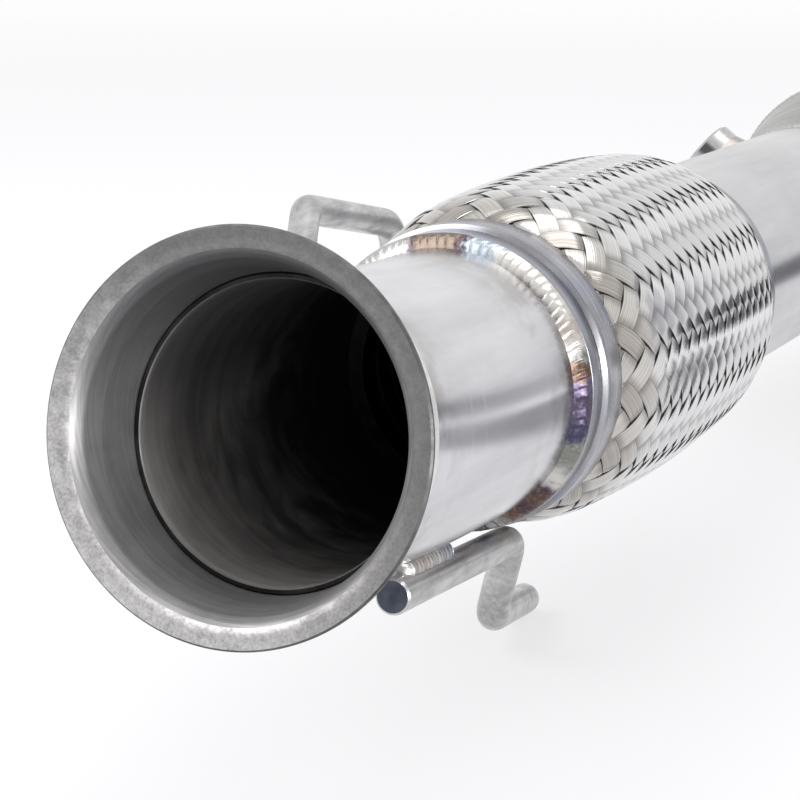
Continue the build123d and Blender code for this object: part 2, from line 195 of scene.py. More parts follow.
def rod(name, points, mats, bevel=0.0006, segments=48, **extra):
    """Round rod along a route, with a slightly bevelled cut front end and a rounded free end."""
    route = rounded_route(points, ROD_BEND)
    first = (route[1] - route[0]).normalized()
    last = (route[-1] - route[-2]).normalized()
    path = [route[0], route[0] + first * bevel]
    radii = [ROD_R - bevel, ROD_R]
    tangents = [first, first]
    for k in range(1, len(route) - 1):
        if (route[k] - route[0]).length > bevel and (route[k] - route[-1]).length > ROD_ROUND:
            path.append(route[k])
            radii.append(ROD_R)
            tangents.append((route[k + 1] - route[k - 1]).normalized())
    for k in range(1, 9):
        a = pi / 2 * k / 8
        path.append(route[-1] - last * ROD_ROUND * (1 - sin(a)))
        radii.append(ROD_R - ROD_ROUND * (1 - cos(a)))
        tangents.append(last)
    side = first.orthogonal().normalized()
    verts, lengths = [], [0.0]
    for k, p in enumerate(path):
        if k:
            side = tangents[k - 1].rotation_difference(tangents[k]) @ side
            lengths.append(lengths[-1] + (p - path[k - 1]).length)
        up = tangents[k].cross(side)
        for j in range(segments):
            a = 2 * pi * j / segments
            verts.append(p + (side * cos(a) + up * sin(a)) * radii[k])
    faces, uvs = [], []
    for k in range(len(path) - 1):
        v0, v1 = lengths[k] * 10, lengths[k + 1] * 10
        for j in range(segments):
            a, b = k * segments + j, k * segments + (j + 1) % segments
            faces.append((a, b, b + segments, a + segments))
            u0, u1 = j / segments, (j + 1) / segments
            uvs.append(((u0, v0), (u1, v0), (u1, v1), (u0, v1)))
    top = (len(path) - 1) * segments
    faces.append(tuple(reversed(range(segments))))
    faces.append(tuple(range(top, top + segments)))
    uvs += [((0, 0),) * segments] * 2
    face_mats = [0] * (len(faces) - 2) + [1, 0]
    return new_piece(name, verts, faces, uvs, mats, face_mats, **extra)


# Materials
class Look:
    """Small helper that builds one node material."""

    def __init__(self, name, metallic=1.0):
        self.mat = bpy.data.materials.new(name)
        self.mat.use_nodes = True
        self.tree = self.mat.node_tree
        self.bsdf = self.tree.nodes["Principled BSDF"]
        self.bsdf.inputs["Metallic"].default_value = metallic
        self.coords = self.tree.nodes.new("ShaderNodeTexCoord")

    def link(self, a, b):
        self.tree.links.new(a, b)

    def put(self, socket, value):
        if isinstance(value, bpy.types.NodeSocket):
            self.link(value, socket)
        else:
            socket.default_value = value

    def where(self):
        return self.coords.outputs["Object"]

    def uv(self):
        return self.coords.outputs["UV"]

    def part(self, vector, letter):
        made = self.tree.nodes.new("ShaderNodeSeparateXYZ")
        self.link(vector, made.inputs[0])
        return made.outputs[letter]

    def scaled(self, vector, scale):
        made = self.tree.nodes.new("ShaderNodeMapping")
        self.link(vector, made.inputs["Vector"])
        made.inputs["Scale"].default_value = scale
        return made.outputs["Vector"]

    def noise(self, vector, scale, detail, rough, distortion=0.0):
        made = self.tree.nodes.new("ShaderNodeTexNoise")
        self.link(vector, made.inputs["Vector"])
        made.inputs["Scale"].default_value = scale
        made.inputs["Detail"].default_value = detail
        made.inputs["Roughness"].default_value = rough
        made.inputs["Distortion"].default_value = distortion
        return made.outputs["Fac"]

    def ramp(self, value, stops):
        made = self.tree.nodes.new("ShaderNodeValToRGB")
        self.link(value, made.inputs[0])
        while len(made.color_ramp.elements) < len(stops):
            made.color_ramp.elements.new(0.5)
        for element, (place, colour) in zip(made.color_ramp.elements, sorted(stops)):
            element.position = place
            element.color = (*colour, 1)
        return made.outputs["Color"]

    def mix(self, factor, a, b):
        made = self.tree.nodes.new("ShaderNodeMix")
        made.data_type = "RGBA"
        self.put(made.inputs[0], factor)
        self.put(made.inputs[6], (*a, 1) if isinstance(a, tuple) else a)
        self.put(made.inputs[7], (*b, 1) if isinstance(b, tuple) else b)
        return made.outputs[2]

    def math(self, kind, a, b=0.0):
        made = self.tree.nodes.new("ShaderNodeMath")
        made.operation = kind
        self.put(made.inputs[0], a)
        self.put(made.inputs[1], b)
        return made.outputs[0]

    def between(self, value, low, high, to_low=0.0, to_high=1.0):
        made = self.tree.nodes.new("ShaderNodeMapRange")
        made.interpolation_type = "SMOOTHSTEP"
        self.put(made.inputs["Value"], value)
        self.put(made.inputs["From Min"], low)
        self.put(made.inputs["From Max"], high)
        self.put(made.inputs["To Min"], to_low)
        self.put(made.inputs["To Max"], to_high)
        return made.outputs[0]

    def bump(self, height, strength, distance):
        made = self.tree.nodes.new("ShaderNodeBump")
        self.link(height, made.inputs["Height"])
        made.inputs["Strength"].default_value = strength
        made.inputs["Distance"].default_value = distance
        self.link(made.outputs[0], self.bsdf.inputs["Normal"])

    def colour(self, socket):
        self.link(socket, self.bsdf.inputs["Base Color"])

    def rough(self, socket):
        self.link(socket, self.bsdf.inputs["Roughness"])


def brushed(name, tones, roughness, grain, blotch, bump, spread=0.1, metallic=1.0, tint=None):
    """Satin surface: fine marks, long where grain is small, and slow clouds between two tones."""
    look = Look(name, metallic)
    lines = look.noise(look.scaled(look.where(), grain), 1.0, 4.0, 0.6)
    cloud = look.noise(look.where(), blotch, 4.0, 0.6)
    blend = look.math("ADD", look.math("MULTIPLY", lines, 0.5), look.math("MULTIPLY", cloud, 0.5))
    shade = look.ramp(blend, [(0.36, tones[0]), (0.64, tones[1])])
    look.colour(tint(look, shade) if tint else shade)
    look.rough(look.between(blend, 0.3, 0.7, roughness + spread / 2, roughness - spread / 2))
    look.bump(lines, bump, 0.0004)
    return look.mat


# Where the stains, the painted shade and the painted highlight start and end, in metres along X, Y or Z
FLARE_STAIN = (-0.770, -0.745)
WELD_STAIN = (-0.705, -0.680)
RIM_SLANT = 0.75
RIM_SHADE_LEVELS = (0.045, 0.135)
BELL_SHADE_LEVELS = (0.095, 0.140)
BELL_HIGHLIGHT_X = (-0.038, -0.043)
BELL_HIGHLIGHT_Z = 0.101
BELL_HIGHLIGHT_REACH = (0.003, 0.016)
BORE_SHADE_DEPTH = (-0.775, -0.680)
BORE_SHADE_LEVEL = (0.072, 0.112)

# Colours of the stains, the painted shade and the painted highlight
STAIN_BLUE = (0.30, 0.33, 0.44)
STAIN_TAN = (0.32, 0.28, 0.26)
RIM_TOP_SHADE = (0.15, 0.148, 0.146)
BELL_TOP_SHADE = (0.10, 0.10, 0.105)
BELL_HIGHLIGHT = (0.92, 0.92, 0.93)
BORE_SHADE = (0.02, 0.019, 0.020)


def blue_patches(look, shade):
    """Faint blue heat stains beside the front weld."""
    stain = look.noise(look.scaled(look.where(), (45.0, 160.0, 45.0)), 1.0, 2.0, 0.5)
    return look.mix(look.between(stain, 0.5, 0.68, 0.0, 0.5), shade, STAIN_BLUE)


def heat_stains(look, shade):
    """Tan stains on the pipe beside the flare's weld and beside the front weld."""
    along = look.part(look.where(), "Y")
    patch = look.between(look.noise(look.where(), 60.0, 3.0, 0.6), 0.42, 0.62, 0.0, 0.8)
    flare_side = look.between(along, *FLARE_STAIN, 1.0, 0.0)
    weld_side = look.between(along, *WELD_STAIN, 0.0, 0.6)
    near = look.math("MULTIPLY", look.math("MAXIMUM", flare_side, weld_side), patch)
    return look.mix(near, shade, STAIN_TAN)


def rim_painted_shade(look, shade):
    """Rim with painted shade: darkest on top, lightest low on one side."""
    sideways = look.math("MULTIPLY", look.part(look.where(), "X"), RIM_SLANT)
    level = look.math("ADD", sideways, look.part(look.where(), "Z"))
    return look.mix(look.between(level, *RIM_SHADE_LEVELS, 0.0, 0.85), shade, RIM_TOP_SHADE)


def bell_painted_highlight_and_shade(look, shade):
    """Bell with painted shade on top and a painted highlight on one side."""
    level = look.part(look.where(), "Z")
    top_shaded = look.mix(look.between(level, *BELL_SHADE_LEVELS, 0.0, 0.8), shade, BELL_TOP_SHADE)
    side = look.between(look.part(look.where(), "X"), *BELL_HIGHLIGHT_X, 0.0, 1.0)
    off = look.math("ABSOLUTE", look.math("SUBTRACT", level, BELL_HIGHLIGHT_Z))
    spot = look.math("MULTIPLY", side, look.between(off, *BELL_HIGHLIGHT_REACH, 1.0, 0.0))
    return look.mix(spot, top_shaded, BELL_HIGHLIGHT)


def bore_painted_shade(look, shade):
    """Bore with painted shade: grey low beside the flare, black further in and higher up, along a ragged
    edge.
    """
    shade_edge_noise = look.noise(look.scaled(look.where(), (30.0, 45.0, 30.0)), 1.0, 3.0, 0.6, 1.5)
    shift = look.between(shade_edge_noise, 0.3, 0.7, -0.014, 0.020)
    along = look.math("ADD", look.part(look.where(), "Y"), shift)
    depth = look.between(along, *BORE_SHADE_DEPTH, 0.0, 0.93)
    level = look.between(look.part(look.where(), "Z"), *BORE_SHADE_LEVEL, 0.0, 0.8)
    return look.mix(look.math("MAXIMUM", depth, level), shade, BORE_SHADE)


# Marks per metre along X, Y and Z
ALONG_MARKS = (120.0, 9.0, 120.0)
ROUND_MARKS = (14.0, 320.0, 14.0)
FINE_ROUND_MARKS = (30.0, 900.0, 30.0)
EVEN_MARKS = (60.0, 60.0, 60.0)

steel_pipe = brushed(
    "steel_pipe",
    tones=((0.54, 0.54, 0.56), (0.70, 0.70, 0.725)),
    roughness=0.20,
    grain=ALONG_MARKS,
    blotch=13.0,
    bump=0.010,
    spread=0.08,
    tint=heat_stains,
)
# Darker copy of the pipe steel for the far pipes: painted shade
steel_far_shaded = brushed(
    "steel_far_shaded",
    tones=((0.44, 0.44, 0.455), (0.58, 0.58, 0.595)),
    roughness=0.22,
    grain=ALONG_MARKS,
    blotch=13.0,
    bump=0.010,
    spread=0.08,
)
steel_can = brushed(
    "steel_can",
    tones=((0.17, 0.166, 0.163), (0.30, 0.295, 0.29)),
    roughness=0.28,
    grain=ROUND_MARKS,
    blotch=26.0,
    bump=0.04,
)
steel_flange = brushed(
    "steel_flange",
    tones=((0.44, 0.44, 0.44), (0.60, 0.595, 0.59)),
    roughness=0.36,
    grain=(400.0, 30.0, 400.0),
    blotch=40.0,
    bump=0.05,
)
steel_boss = brushed(
    "steel_boss",
    tones=((0.42, 0.42, 0.43), (0.62, 0.615, 0.60)),
    roughness=0.22,
    grain=(500.0, 500.0, 500.0),
    blotch=40.0,
    bump=0.02,
)
steel_collar = brushed(
    "steel_collar",
    tones=((0.20, 0.20, 0.215), (0.46, 0.46, 0.49)),
    roughness=0.28,
    grain=FINE_ROUND_MARKS,
    blotch=50.0,
    bump=0.10,
    tint=blue_patches,
)
steel_sleeve = brushed(
    "steel_sleeve",
    tones=((0.66, 0.65, 0.64), (0.86, 0.85, 0.845)),
    roughness=0.36,
    grain=(300.0, 60.0, 300.0),
    blotch=120.0,
    bump=0.05,
)
# Its tint paints shade deeper in the bore and higher up
steel_inner = brushed(
    "steel_inner",
    tones=((0.26, 0.25, 0.24), (0.56, 0.54, 0.52)),
    roughness=0.60,
    grain=(10.0, 200.0, 10.0),
    blotch=34.0,
    bump=0.08,
    metallic=0.35,
    tint=bore_painted_shade,
)
# Its tint paints shade on the bell's top and a highlight on one side
steel_bell = brushed(
    "steel_bell",
    tones=((0.28, 0.275, 0.275), (0.52, 0.51, 0.51)),
    roughness=0.50,
    grain=(30.0, 1500.0, 30.0),
    blotch=60.0,
    bump=0.12,
    metallic=0.75,
    tint=bell_painted_highlight_and_shade,
)
# Its tint paints shade on the rim's top
steel_rim = brushed(
    "steel_rim",
    tones=((0.44, 0.43, 0.425), (0.94, 0.92, 0.91)),
    roughness=0.48,
    grain=(1300.0, 1300.0, 1300.0),
    blotch=300.0,
    bump=0.25,
    metallic=0.8,
    tint=rim_painted_shade,
)
steel_edge = brushed(
    "steel_edge",
    tones=((0.08, 0.08, 0.08), (0.16, 0.16, 0.16)),
    roughness=0.40,
    grain=(300.0, 300.0, 300.0),
    blotch=90.0,
    bump=0.04,
)
steel_rod = brushed(
    "steel_rod",
    tones=((0.34, 0.33, 0.33), (0.60, 0.595, 0.60)),
    roughness=0.32,
    grain=(500.0, 60.0, 500.0),
    blotch=90.0,
    bump=0.06,
)
# Near black: painted dark reflection on the rods' cut front ends
steel_cut_dark_reflection = brushed(
    "steel_cut_dark_reflection",
    tones=((0.03, 0.033, 0.045), (0.10, 0.11, 0.14)),
    roughness=0.30,
    grain=(120.0, 120.0, 120.0),
    blotch=90.0,
    bump=0.10,
)
# Dark: painted shade for the bellows seen through the braid's gaps
steel_hidden_shaded = brushed(
    "steel_hidden_shaded",
    tones=((0.10, 0.097, 0.095), (0.20, 0.195, 0.19)),
    roughness=0.45,
    grain=EVEN_MARKS,
    blotch=60.0,
    bump=0.05,
)
# Near black: painted shade for the liner deep inside and for the pipe's cut end in the seam's gap
steel_painted_shade = brushed(
    "steel_painted_shade",
    tones=((0.03, 0.029, 0.028), (0.08, 0.077, 0.074)),
    roughness=0.55,
    grain=EVEN_MARKS,
    blotch=60.0,
    bump=0.05,
)
brick_look = brushed(
    "brick_look",
    tones=((0.58, 0.54, 0.46), (0.74, 0.70, 0.62)),
    roughness=0.8,
    grain=EVEN_MARKS,
    blotch=80.0,
    bump=0.05,
    metallic=0.0,
)
mat_look = brushed(
    "mat_look",
    tones=((0.62, 0.60, 0.54), (0.82, 0.80, 0.74)),
    roughness=0.9,
    grain=(300.0, 300.0, 300.0),
    blotch=80.0,
    bump=0.2,
    metallic=0.0,
)


def heat_weld(name, stops, roughness=0.30):
    """Weld metal whose heat colours follow the joint, given by place from 0 to 1."""
    look = Look(name)
    wobble = look.noise(look.scaled(look.uv(), (60.0, 2.0, 1.0)), 1.0, 3.0, 0.6)
    shift = look.between(wobble, 0.2, 0.8, -0.008, 0.008)
    place = look.math("ADD", look.part(look.uv(), "X"), shift)
    grain = look.noise(look.where(), 900.0, 3.0, 0.6)
    specks = look.between(grain, 0.50, 0.75, 0.0, 0.14)
    look.colour(look.mix(specks, look.ramp(place, stops), (0.80, 0.80, 0.83)))
    look.rough(look.between(grain, 0.3, 0.7, roughness - 0.08, roughness + 0.10))
    look.bump(grain, 0.04, 0.0003)
    return look.mat


SILVER = (0.48, 0.47, 0.46)
CREAM = (0.62, 0.60, 0.575)
PALE_BLUE = (0.40, 0.45, 0.50)
TAN = (0.20, 0.155, 0.125)
BRONZE = (0.12, 0.075, 0.055)
PURPLE = (0.085, 0.068, 0.108)
NIGHT_BLUE = (0.055, 0.062, 0.11)
PLUM = (0.065, 0.042, 0.058)
MOSS = (0.22, 0.22, 0.205)
MAUVE = (0.12, 0.10, 0.155)
SAND = (0.46, 0.41, 0.38)
DULL = (0.40, 0.37, 0.35)
DUSK = (0.30, 0.28, 0.32)
WARM_SILVER = (0.50, 0.44, 0.41)
SLATE = (0.24, 0.25, 0.32)

# Place 0 faces +X and place 0.25 is the top
front_weld_look = heat_weld(
    "front_weld_look",
    [
        (0.0, PURPLE),
        (0.012, MAUVE),
        (0.022, BRONZE),
        (0.034, BRONZE),
        (0.042, MOSS),
        (0.055, CREAM),
        (0.075, SAND),
        (0.10, CREAM),
        (0.18, CREAM),
        (0.20, PALE_BLUE),
        (0.222, PALE_BLUE),
        (0.230, PLUM),
        (0.240, TAN),
        (0.285, TAN),
        (0.292, PLUM),
        (0.300, SILVER),
        (0.79, SILVER),
        (0.82, MOSS),
        (0.835, BRONZE),
        (0.85, PLUM),
        (0.87, BRONZE),
        (0.885, PLUM),
        (0.90, CREAM),
        (0.925, MOSS),
        (0.945, MOSS),
        (0.955, NIGHT_BLUE),
        (0.975, PURPLE),
        (1.0, PURPLE),
    ],
)
plain_weld_look = heat_weld(
    "plain_weld_look",
    [(0.0, DULL), (0.35, SILVER), (0.6, DUSK), (1.0, DULL)],
)
flare_weld_look = heat_weld(
    "flare_weld_look",
    [
        (0.0, CREAM),
        (0.05, TAN),
        (0.08, CREAM),
        (0.8, SILVER),
        (0.88, PLUM),
        (0.96, PURPLE),
        (1.0, CREAM),
    ],
)
rod_weld_look = heat_weld(
    "rod_weld_look",
    [(0.0, SILVER), (0.3, WARM_SILVER), (0.6, SILVER), (1.0, SLATE)],
    roughness=0.36,
)

# Braid: fine wires on a ribbon, the tan's fade, and the painted shade at the ribbon's edge and where it
# dips under
FINE_WIRES = 9
TAN_FADE = (BRAID_FRONT + 0.004, BRAID_FRONT + 0.026)
RIBBON_EDGE_SHADE = (0.455, 0.495)
DIP_SHADE = (0.14, 0.135, 0.13)
GAP_SHADE = (0.10, 0.10, 0.10)


def braid_look(name, bright_tones, warm_tones):
    """Ribbons of fine wires, with painted shade where they dip under and at their edges, and tan beside
    the front collar.
    """
    look = Look(name)
    across = look.part(look.uv(), "X")
    wires = look.math("SINE", look.math("MULTIPLY", across, 2 * pi * FINE_WIRES))
    drift = look.noise(look.scaled(look.uv(), (9.0, 0.8, 1.0)), 1.0, 4.0, 0.6)
    shade = look.math("ADD", look.math("MULTIPLY", wires, 0.05), drift)
    bright = look.ramp(shade, [(0.3, bright_tones[0]), (0.7, bright_tones[1])])
    warm = look.ramp(shade, [(0.3, warm_tones[0]), (0.7, warm_tones[1])])
    along = look.part(look.where(), "Y")
    heat = look.between(along, *TAN_FADE, 1.0, 0.0)
    edge = look.math("ABSOLUTE", look.math("SUBTRACT", across, 0.5))
    over = look.math("COSINE", look.math("MULTIPLY", look.part(look.uv(), "Y"), 2 * pi))
    dip = look.between(over, 0.05, 0.75, 0.55, 0.0)
    metal = look.mix(dip, look.mix(heat, bright, warm), DIP_SHADE)
    look.colour(look.mix(look.between(edge, *RIBBON_EDGE_SHADE), metal, GAP_SHADE))
    look.rough(look.between(drift, 0.3, 0.7, 0.17, 0.11))
    look.bump(wires, 0.05, 0.0001)
    return look.mat


# Two copies of one braid: the second family is painted darker, as shade
braid_lit = braid_look(
    "braid_lit",
    bright_tones=((0.62, 0.62, 0.62), (0.80, 0.80, 0.805)),
    warm_tones=((0.44, 0.415, 0.385), (0.64, 0.615, 0.585)),
)
braid_shaded = braid_look(
    "braid_shaded",
    bright_tones=((0.50, 0.50, 0.505), (0.70, 0.70, 0.705)),
    warm_tones=((0.30, 0.275, 0.25), (0.50, 0.47, 0.44)),
)

# Outlet: a straight, a slight bend and a straight to the flare, on a plane that leans to one side
lean_x = Vector((0, -1, 0))
lean_z = Vector((-sin(LEAN), 0, cos(LEAN)))
lean_y = lean_z.cross(lean_x)
WELD_CENTRE = Vector((0, WELD_Y, AXIS_Z))
BEND_R = (REACH - STRAIGHT - FLARE_RUN) / BEND
BEND_END = (STRAIGHT + BEND_R * sin(BEND), BEND_R * (1 - cos(BEND)))
PIPE_END = REACH - MOUTH_DEPTH - END_GAP
flare_way = lean_x * cos(BEND) + lean_y * sin(BEND)


def on_lean(p):
    """Point on the outlet's plane, from (distance before the weld, offset)."""
    return WELD_CENTRE + lean_x * p[0] + lean_y * p[1]


def outlet_at(s):
    """Centre and direction of the outlet's centre line at a distance before the outlet weld."""
    if s <= STRAIGHT:
        return on_lean((s, 0)), lean_x
    turn = (s - STRAIGHT) / BEND_R
    if turn <= BEND:
        place = on_lean((STRAIGHT + BEND_R * sin(turn), BEND_R * (1 - cos(turn))))
        return place, lean_x * cos(turn) + lean_y * sin(turn)
    return on_lean(BEND_END) + flare_way * (s - STRAIGHT - BEND_R * BEND), flare_way


rim_centre = outlet_at(REACH)[0]

GROOVES = (0.064, 0.073)
GROOVE_HALF = 0.0009
GROOVE_DEPTH = 0.00002
TUBE_STATIONS = 40
END_BEVEL = 0.0004
BORE_BEVEL = 0.0003


def tube_zone(k, outer):
    """Material of each band of the tube: outside, cut end painted black as shade, the bore's mouth, then
    the bore.
    """
    if k < outer:
        return 0
    if k < outer + 2:
        return 2
    return 3 if k == outer + 2 else 1


def outlet_tube():
    """Tube wall along the outlet's centre line, with faint rolled lines before the flare."""
    start = FLEX_FRONT - WELD_Y + SOCKET_DEPTH
    marks = {s + k * GROOVE_HALF for s in GROOVES for k in (-1, 0, 1)}
    plain = set(np.linspace(-start, PIPE_END - END_BEVEL, TUBE_STATIONS))
    stations = sorted(plain | marks)
    rows = [(s, PIPE_R - (GROOVE_DEPTH if s in GROOVES else 0)) for s in stations]
    rows += [(PIPE_END, PIPE_R - END_BEVEL), (PIPE_END, PIPE_R - PIPE_WALL + BORE_BEVEL)]
    outer = len(rows) - 3
    rows += [(s, PIPE_R - PIPE_WALL) for s in reversed(stations)]
    segments, n = 256, len(rows)
    verts = []
    for s, r in rows:
        centre, way = outlet_at(s)
        _, side, up = across_axis(way)
        for j in range(segments):
            a = 2 * pi * j / segments
            verts.append(centre + (side * cos(a) + up * sin(a)) * r)
    faces, uvs, face_mats = [], [], []
    for k in range(n):
        v0, v1 = rows[k][0] * 10, rows[(k + 1) % n][0] * 10
        for j in range(segments):
            a, b = k * segments + j, k * segments + (j + 1) % segments
            d, c = (k + 1) % n * segments + j, (k + 1) % n * segments + (j + 1) % segments
            faces.append((d, c, b, a))
            u0, u1 = j / segments, (j + 1) / segments
            uvs.append(((u0, v1), (u1, v1), (u1, v0), (u0, v0)))
            face_mats.append(tube_zone(k, outer))
    return new_piece(
        "outlet_tube",
        verts,
        faces,
        uvs,
        (steel_pipe, steel_inner, steel_painted_shade, steel_bell),
        face_mats,
        slot="pipe",
        stands_for=("outlet_pipe",),
    )


outlet_tube()

# Flared ring: rim face, roll, bell and the short sleeve over the pipe's end
ROLL_STEPS = 10
RIM_BANDS = 7
bell_line = eased(
    [
        (0, RIM_R - RIM_EDGE),
        (FACE_DEPTH, RIM_R - FACE_WIDTH),
        (WAIST_DEPTH / 2, WAIST_R),
        (THROAT_DEPTH, THROAT_R),
        (MOUTH_DEPTH, PIPE_R + FIT),
        (FLARE_LENGTH, PIPE_R + FIT),
    ],
    ROLL,
    ROLL_STEPS,
)
back_line = eased(
    [
        (FLARE_LENGTH, PIPE_R + FIT + FLARE_WALL),
        (MOUTH_DEPTH, PIPE_R + FIT + FLARE_WALL),
        (THROAT_DEPTH, THROAT_R + FLARE_WALL),
        (WAIST_DEPTH / 2 + FLARE_WALL / 2, WAIST_R + FLARE_WALL),
        (FACE_DEPTH + FLARE_WALL, RIM_R - FACE_WIDTH + FLARE_WALL),
        (FLARE_WALL, RIM_R - RIM_EDGE),
    ],
    ROLL,
    ROLL_STEPS,
)
rim_line = [(FLARE_WALL - RIM_EDGE, RIM_R), (RIM_EDGE, RIM_R)]
outline = bell_line + back_line + rim_line
back_start = len(bell_line) - 1
edge_start = back_start + len(back_line)


def flare_zone(k):
    """Material of each band of the outline: rim face, bell, outside, then the thin edge."""
    if k < RIM_BANDS:
        return 1
    if k < back_start:
        return 0
    return 2 if k < edge_start else 3


lathe(
    "flared_ring",
    outline,
    rim_centre,
    flare_way * -1,
    (steel_bell, steel_rim, steel_sleeve, steel_edge),
    flare_zone,
    slot="flare",
    stands_for=("flare_ring",),
)


# Weld beads: how far the ripples stray, vary, curve and wander
RIPPLE_STRAY = 0.22
RIPPLE_SIZES = (0.6, 1.25)
RIPPLE_CURVE = 0.55
BEAD_WANDER = 0.0003
WAVES = 6


def bead_ring(name, centre, way, line, pitch, height, mat, stands_for, segments=900):
    """Ring weld from an outline across it: stacked crescents go round the joint."""
    axis, side, up = across_axis(way)
    mean_r = sum(r for _, r in line) / len(line)
    count = int(2 * pi * mean_r / pitch)
    places = np.sort((np.arange(count) + rng.uniform(-RIPPLE_STRAY, RIPPLE_STRAY, count)) / count)
    sizes = rng.uniform(*RIPPLE_SIZES, count)
    phases = rng.uniform(0, 2 * pi, WAVES)
    n = len(line)
    verts = []
    for i in range(segments):
        u = i / segments
        angle = 2 * pi * u
        out = side * cos(angle) + up * sin(angle)
        drift = sum(sin((k + 3) * angle + phases[k]) for k in range(WAVES)) / WAVES
        for k, (t, r) in enumerate(line):
            v = k / (n - 1)
            at = (u + RIPPLE_CURVE / count * (2 * v - 1) ** 2) % 1.0
            j = int(np.searchsorted(places, at)) % count
            last = places[j - 1] if j else places[-1] - 1.0
            following = places[j] if j or at <= places[0] else places[0] + 1.0
            part = (at - last) / max(1e-6, following - last)
            ripple = height * sizes[j] * sin(pi * v) * (1 - part) ** 0.8 * min(1.0, part * 9)
            shift = BEAD_WANDER * drift * (1 if v > 0.5 else -1) if 0 < k < n - 1 else 0
            verts.append(Vector(centre) + axis * (t + shift) + out * (r + ripple))
    faces, uvs = [], []
    for i in range(segments):
        u0, u1 = i / segments, (i + 1) / segments
        for k in range(n):
            a, b = i * n + k, i * n + (k + 1) % n
            d, c = (i + 1) % segments * n + k, (i + 1) % segments * n + (k + 1) % n
            faces.append((a, d, c, b))
            v0, v1 = k / (n - 1), (k + 1) % n / (n - 1)
            uvs.append(((u0, v0), (u1, v0), (u1, v1), (u0, v1)))
    return new_piece(name, verts, faces, uvs, (mat,), sharp=70, slot="weld", stands_for=(stands_for,))


def arch(t0, r0, t1, r1, rise, count=9):
    """Outline across a bead: from one foot to the other, bulging outwards."""
    steps = [k / (count - 1) for k in range(count)]
    return [(t0 + (t1 - t0) * v, r0 + (r1 - r0) * v + rise * sin(pi * v)) for v in steps]


bead_ring(
    "flex_front_bead",
    RUN_CENTRE,
    RUN_WAY,
    arch(WELD_Y - 0.0002, PIPE_R - FIT, FLEX_FRONT + FIT, MOUTH_R - FIT, 0.0006),
    pitch=0.0025,
    height=0.0006,
    mat=front_weld_look,
    stands_for="flex_front_weld",
)
bead_ring(
    "flare_bead",
    rim_centre,
    flare_way * -1,
    arch(FLARE_LENGTH - FIT, PIPE_R + FLARE_WALL, FLARE_LENGTH + FLARE_LEG, PIPE_R - FIT, 0.0003),
    pitch=0.0016,
    height=0.0002,
    mat=flare_weld_look,
    stands_for="flare_weld",
    segments=700,
)
BEAD_RISE = 0.0008
half = BEAD_WIDTH / 2
for name, station, radius, front, rear, node in (
    ("elbow_bead", ELBOW_END, PIPE_R, (CAN_R - PIPE_R) / REAR_CONE, 0, "elbow_weld"),
    ("can_rear_bead", CAN_REAR, CAN_R, 0, (PIPE_R - CAN_R) / REAR_CONE, "can_rear_weld"),
    ("can_front_bead", CAN_FRONT, CAN_R, (PIPE_R - CAN_R) / FRONT_CONE, 0, "can_front_weld"),
    ("mid_pipe_bead", CONE_FRONT, PIPE_R, 0, (CAN_R - PIPE_R) / FRONT_CONE, "mid_pipe_weld"),
):
    front_foot = radius + front * half - FIT
    rear_foot = radius + rear * half - FIT
    rise = BEAD_RISE + max(front, rear, 0) * half / 2
    bead_ring(
        name,
        RUN_CENTRE,
        RUN_WAY,
        arch(station - half, front_foot, station + half, rear_foot, rise),
        pitch=0.0024,
        height=0.0003,
        mat=plain_weld_look,
        stands_for=node,
        segments=700,
    )

# Front collar: a plain mouth, a step and the cuff that the braid is crimped on
LINER_END = FLEX_FRONT + SOCKET_DEPTH + LINER_LIP

# Its outside, as (distance from its front or from the braid, drop below the full radius)
MOUTH_STEPS = ((0, 0.0004), (0.0004, 0), (0.0066, 0), (0.0072, 0.0003), (0.0080, 0.0002))
RISE_STEPS = ((0.0090, 0.0001), (0.0100, 0))
REAR_STEPS = ((0.0010, 0), (0.0003, 0.0002), (0, 0.0007))
collar = [(FLEX_FRONT, PIPE_R + FIT)]
collar += [(FLEX_FRONT + t, MOUTH_R - drop) for t, drop in MOUTH_STEPS]
collar += [(FLEX_FRONT + t, COLLAR_R - drop) for t, drop in RISE_STEPS]
collar += [(BRAID_FRONT - t, COLLAR_R - drop) for t, drop in REAR_STEPS]
collar += [
    (BRAID_FRONT, CUFF_R),
    (BRAID_FRONT + CUFF_REACH, CUFF_R),
    (BRAID_FRONT + CUFF_REACH, CUFF_R - CUFF_WALL),
    (LINER_END, CUFF_R - CUFF_WALL),
    (LINER_END, PIPE_R + FIT),
]
lathe(
    "flex_collar",
    collar,
    RUN_CENTRE,
    RUN_WAY,
    (steel_collar,),
    slot="collar",
    stands_for=("flex_front_collar",),
    sharp=35,
)

# Braid: a barrel with plain lands at its ends
SHOULDER = 0.020
LAND = 0.003
BULGE = 0.008
DROP = 0.0017
BRAID_MIDDLE = (BRAID_FRONT + BRAID_REAR) / 2
BRAID_HALF = (BRAID_REAR - BRAID_FRONT) / 2
CROWN_REACH = BRAID_HALF - LAND - SHOULDER
CROWN_R = (CROWN_REACH**2 + DROP**2) / (2 * DROP)
SHOULDER_TOP = CUFF_R + BULGE - DROP
shoulder_slope = atan2(CROWN_REACH, CROWN_R)
shoulder_turn = 2 * (atan2(BULGE - DROP, SHOULDER) - shoulder_slope)
SHOULDER_R = hypot(SHOULDER, BULGE - DROP) / (2 * sin(shoulder_turn / 2))


